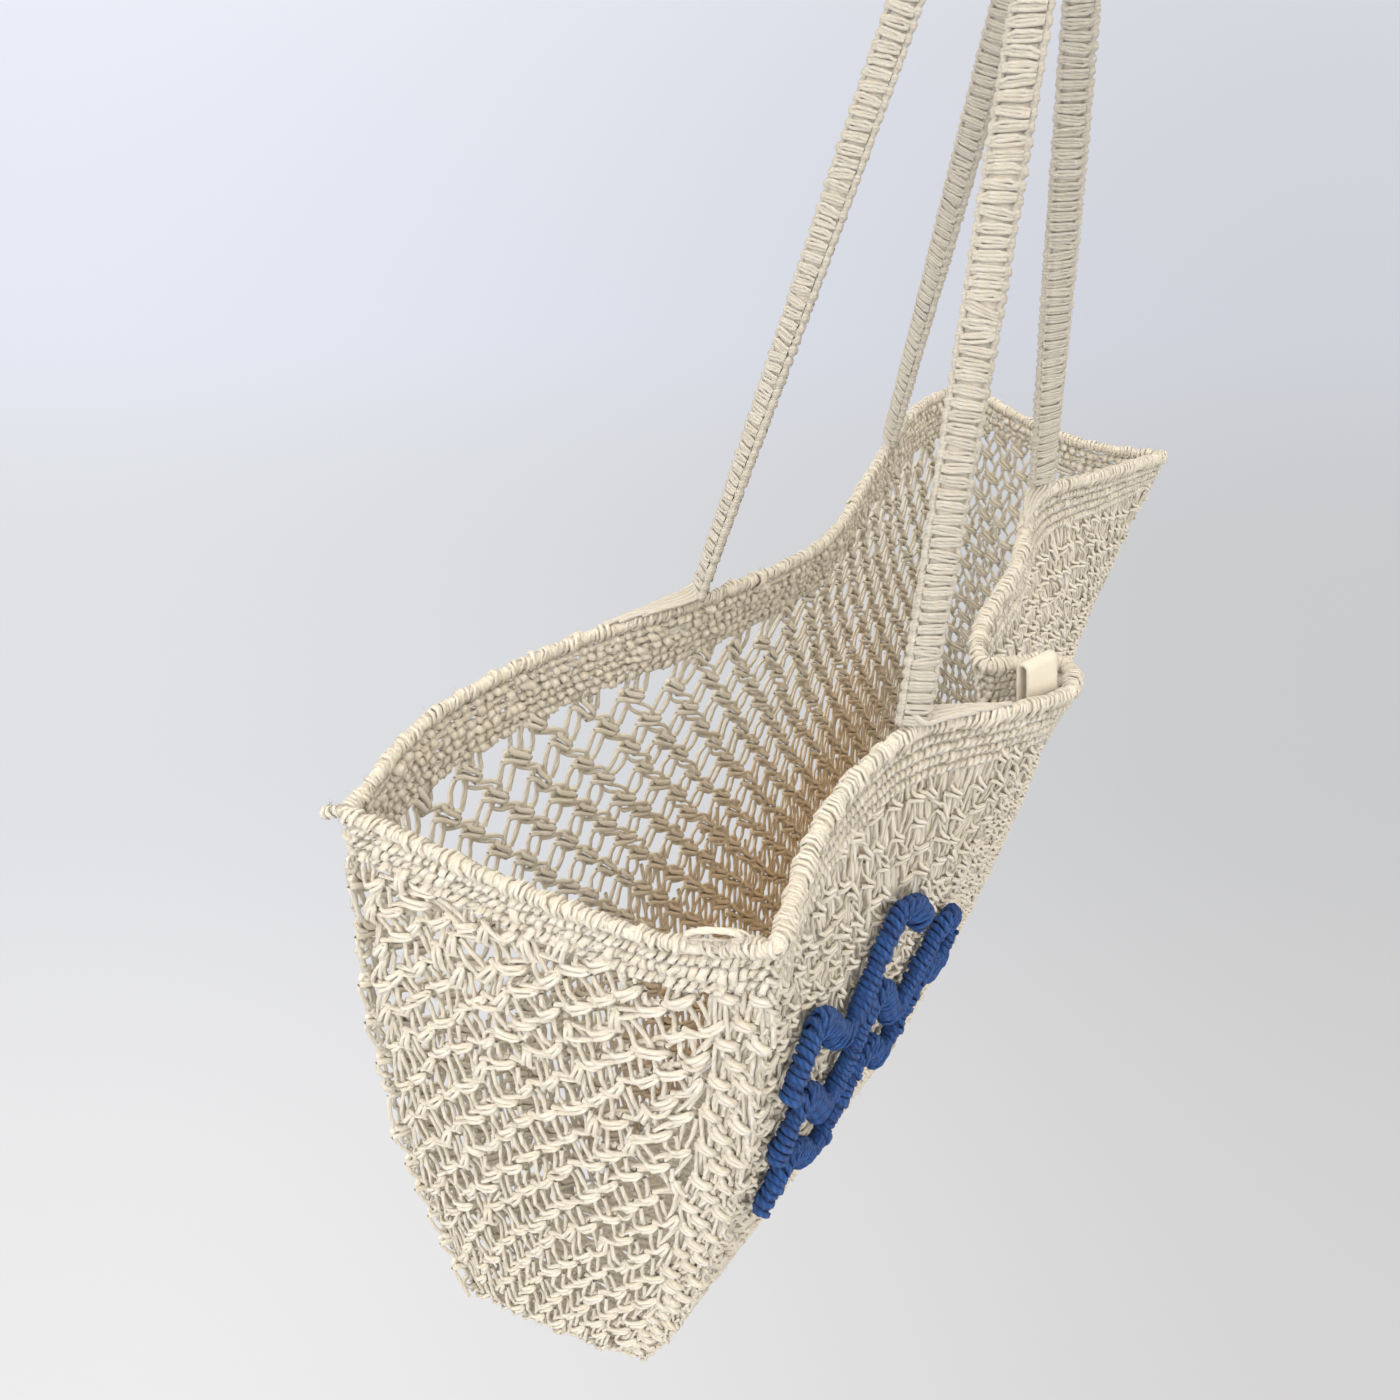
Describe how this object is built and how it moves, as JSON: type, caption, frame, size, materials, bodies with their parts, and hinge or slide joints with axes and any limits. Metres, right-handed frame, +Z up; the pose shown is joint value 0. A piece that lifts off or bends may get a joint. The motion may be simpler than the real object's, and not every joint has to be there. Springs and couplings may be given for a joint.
{
  "type": "beach tote",
  "caption": "Knotted cotton beach tote with open net walls, a close-knotted front with blue cord waves, whipped rims and flat knotted handles, hanging by its handles.",
  "frame": {"origin": "underside of the two handle tops, side by side, where the bag hangs", "axes": "+Z up, +X along the bag's length towards its far end, -Y out of the front panel with the blue waves"},
  "size_m": [0.4418, 0.1717, 0.5926],
  "materials": {
    "cotton_cord": "undyed spun cotton cord, matt and slightly fuzzy",
    "blue_cord": "dyed cotton yarn, matt",
    "label_cloth": "plain woven tape"
  },
  "bodies": {
    "root": {"front_panel": "cotton_cord", "back_panel": "cotton_cord", "near_gusset": "cotton_cord", "far_gusset": "cotton_cord", "bottom_panel": "cotton_cord", "front_rim": "cotton_cord", "back_rim": "cotton_cord", "near_rim": "cotton_cord", "far_rim": "cotton_cord", "front_handle": "cotton_cord", "back_handle": "cotton_cord", "blue_wave_upper": "blue_cord", "blue_wave_middle": "blue_cord", "blue_wave_lower": "blue_cord", "label": "label_cloth"}
  },
  "joints": []
}
